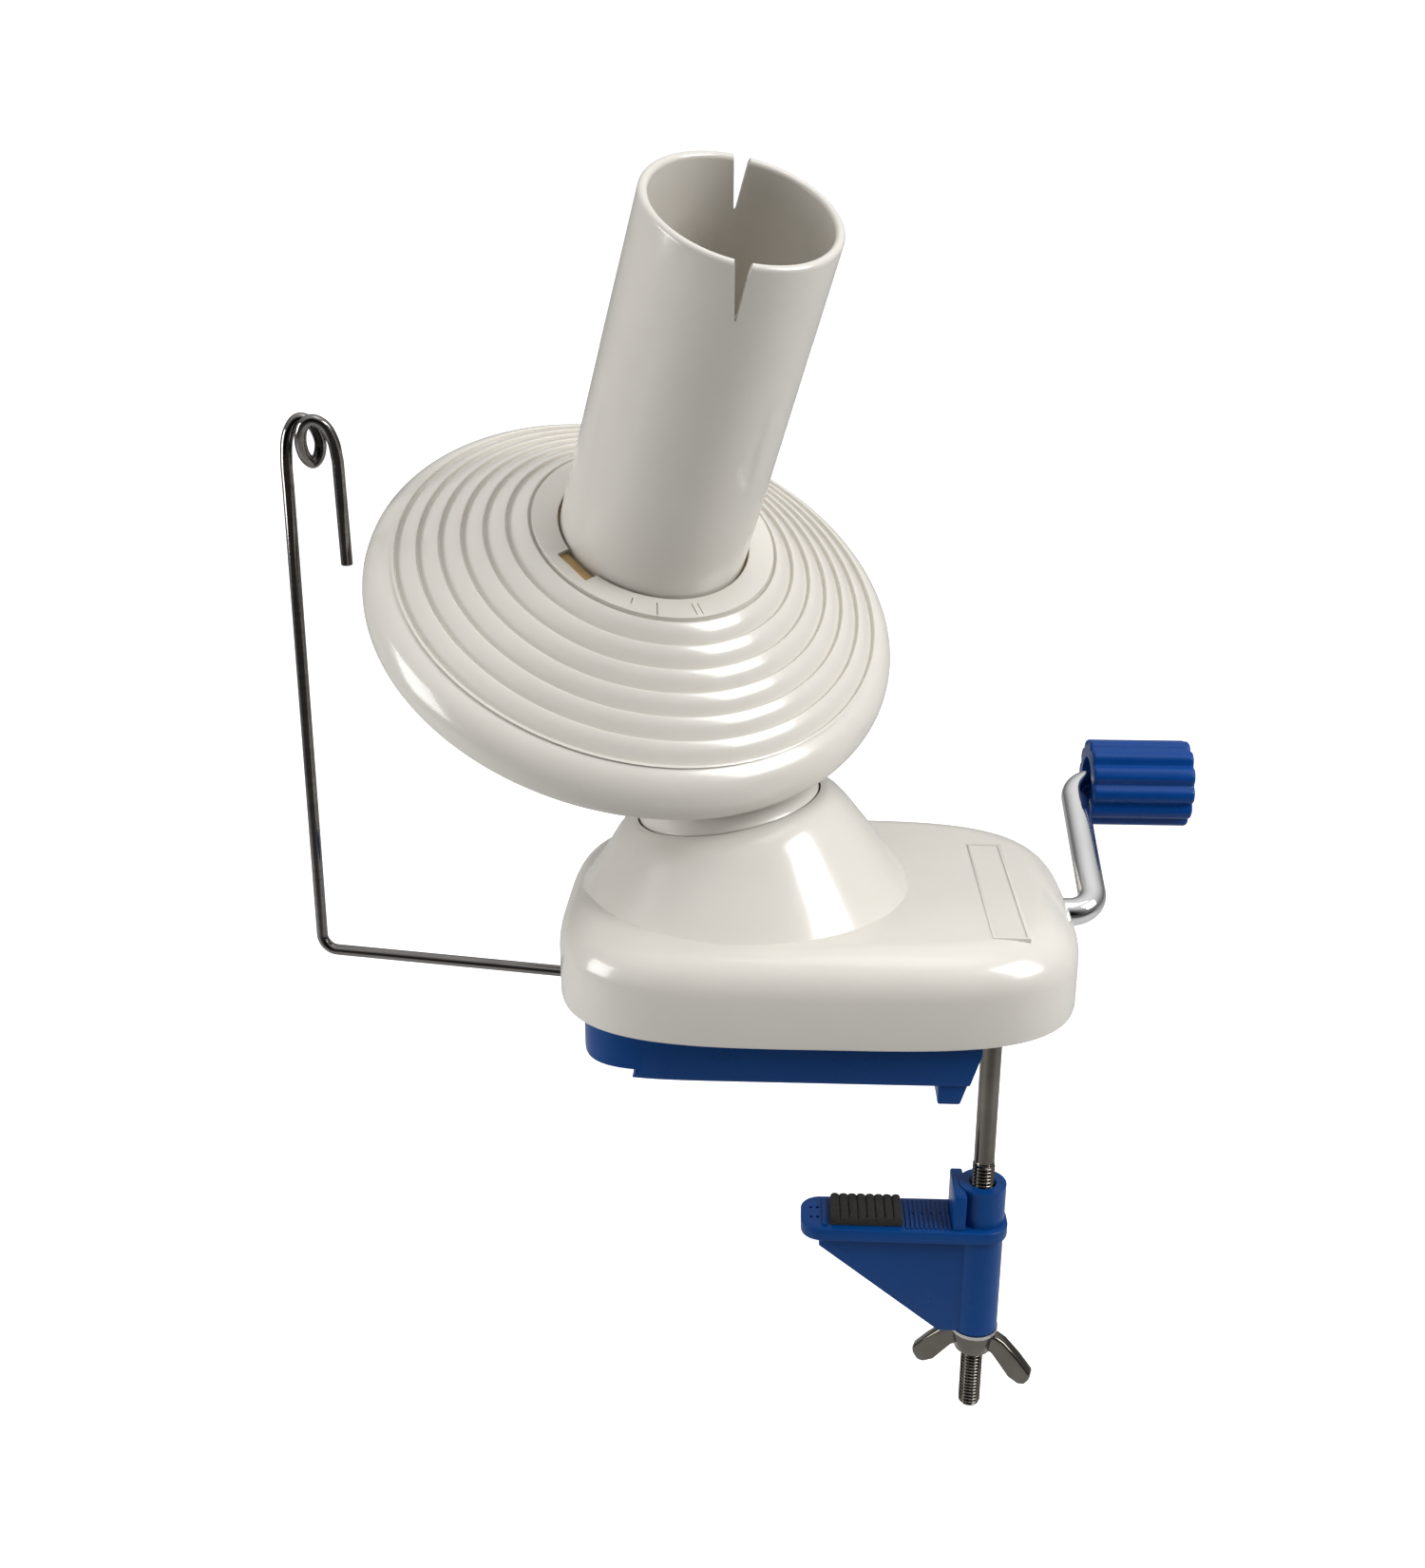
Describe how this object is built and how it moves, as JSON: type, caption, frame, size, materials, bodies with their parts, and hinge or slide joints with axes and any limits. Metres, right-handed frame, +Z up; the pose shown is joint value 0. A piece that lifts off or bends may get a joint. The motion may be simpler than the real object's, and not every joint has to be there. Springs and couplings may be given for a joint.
{
  "type": "ball winder",
  "caption": "Hand-cranked ball winder: leaning rotor with a tilted disk and winding tube on a geared casing, wire yarn guide, cranked handle and a table clamp.",
  "frame": {"origin": "on the flat underside of the base tray, the face that lies on the table, below the main axis", "axes": "+Z up, away from the table; +X along the casing towards the crank; -Y towards the user"},
  "size_m": [0.2264, 0.1249, 0.3169],
  "materials": {
    "cover": "ivory, smooth",
    "base_tray": "royal blue, satin",
    "centre_post": "turned",
    "sun_gear": "cut",
    "neck_bush": "turned",
    "thrust_washer": "flat",
    "crank_bush_inner": "turned",
    "crank_bush_outer": "turned",
    "clamp_rod": "nickel plated",
    "cover_screw_1": "zinc plated",
    "cover_screw_2": "zinc plated",
    "cover_screw_3": "zinc plated",
    "cover_screw_4": "zinc plated",
    "rotor": "ivory, smooth",
    "rotor_shaft": "ground",
    "pinion": "cut",
    "axle_washer": "flat",
    "axle_screw": "zinc plated",
    "spool_hub": "amber nylon",
    "spool_disk": "ivory, smooth",
    "spool_tube": "ivory, smooth",
    "crank_rod": "bright",
    "drive_gear": "natural nylon",
    "gear_set_screw": "black",
    "grip_retainer": "spring steel",
    "crank_grip": "royal blue, satin",
    "guide_wire": "bright drawn wire",
    "guide_clip": "spring steel",
    "clamp_washer": "zinc plated",
    "clamp_jaw": "royal blue, satin",
    "jaw_pad": "ribbed foam",
    "wing_nut": "nickel plated"
  },
  "bodies": {
    "base": {"cover": "cover", "base_tray": "base_tray", "centre_post": "centre_post", "sun_gear": "sun_gear", "neck_bush": "neck_bush", "thrust_washer": "thrust_washer", "crank_bush_inner": "crank_bush_inner", "crank_bush_outer": "crank_bush_outer", "clamp_rod": "clamp_rod", "cover_screw_1": "cover_screw_1", "cover_screw_2": "cover_screw_2", "cover_screw_3": "cover_screw_3", "cover_screw_4": "cover_screw_4"},
    "rotor_unit": {"rotor": "rotor", "rotor_shaft": "rotor_shaft", "pinion": "pinion", "axle_washer": "axle_washer", "axle_screw": "axle_screw"},
    "spool": {"spool_hub": "spool_hub", "spool_disk": "spool_disk", "spool_tube": "spool_tube"},
    "crank": {"crank_rod": "crank_rod", "drive_gear": "drive_gear", "gear_set_screw": "gear_set_screw", "grip_retainer": "grip_retainer"},
    "grip": {"crank_grip": "crank_grip"},
    "guide": {"guide_wire": "guide_wire", "guide_clip": "guide_clip"},
    "carrier": {"clamp_washer": "clamp_washer"},
    "jaw": {"clamp_jaw": "clamp_jaw", "jaw_pad": "jaw_pad"},
    "nut": {"wing_nut": "wing_nut"}
  },
  "joints": [
    {"name": "rotor_turn", "type": "hinge", "parent": "base", "child": "rotor_unit", "pos_m": [0, 0, 0.0545], "axis": [-0.1822, 0, 0.9833], "continuous": true},
    {"name": "spool_spin", "type": "hinge", "parent": "rotor_unit", "child": "spool", "pos_m": [-0.01392, 0, 0.12962], "axis": [0.2536, -0.4634, 0.8491], "continuous": true},
    {"name": "crank_turn", "type": "hinge", "parent": "base", "child": "crank", "pos_m": [0, 0, 0.0269], "axis": [1, 0, 0], "continuous": true},
    {"name": "grip_spin", "type": "hinge", "parent": "crank", "child": "grip", "pos_m": [0.108, 0.0428, 0.0454], "axis": [1, 0, 0], "continuous": true},
    {"name": "guide_swivel", "type": "hinge", "parent": "base", "child": "guide", "pos_m": [-0.038, 0.0065, 0.0049], "axis": [-0.986, 0.1668, 0], "range_deg": [0, 90]},
    {"name": "jaw_slide", "type": "slide", "parent": "base", "child": "carrier", "axis": [0, 0, 1], "range_m": [-0.0101, 0.0381]},
    {"name": "jaw_swivel", "type": "hinge", "parent": "carrier", "child": "jaw", "pos_m": [0.066, 0, -0.07], "axis": [0, 0, 1], "range_deg": [-90, 90]},
    {"name": "nut_turn", "type": "hinge", "parent": "carrier", "child": "nut", "pos_m": [0.066, 0, -0.097], "axis": [0, 0, 1], "range_deg": [-3600, 13680]}
  ],
  "couplings": [
    {"joint": "spool_spin", "follows": "rotor_turn", "ratio": 0.2},
    {"joint": "crank_turn", "follows": "rotor_turn", "ratio": 0.4},
    {"joint": "jaw_slide", "follows": "nut_turn", "m_per_rad": 0.00015915}
  ]
}
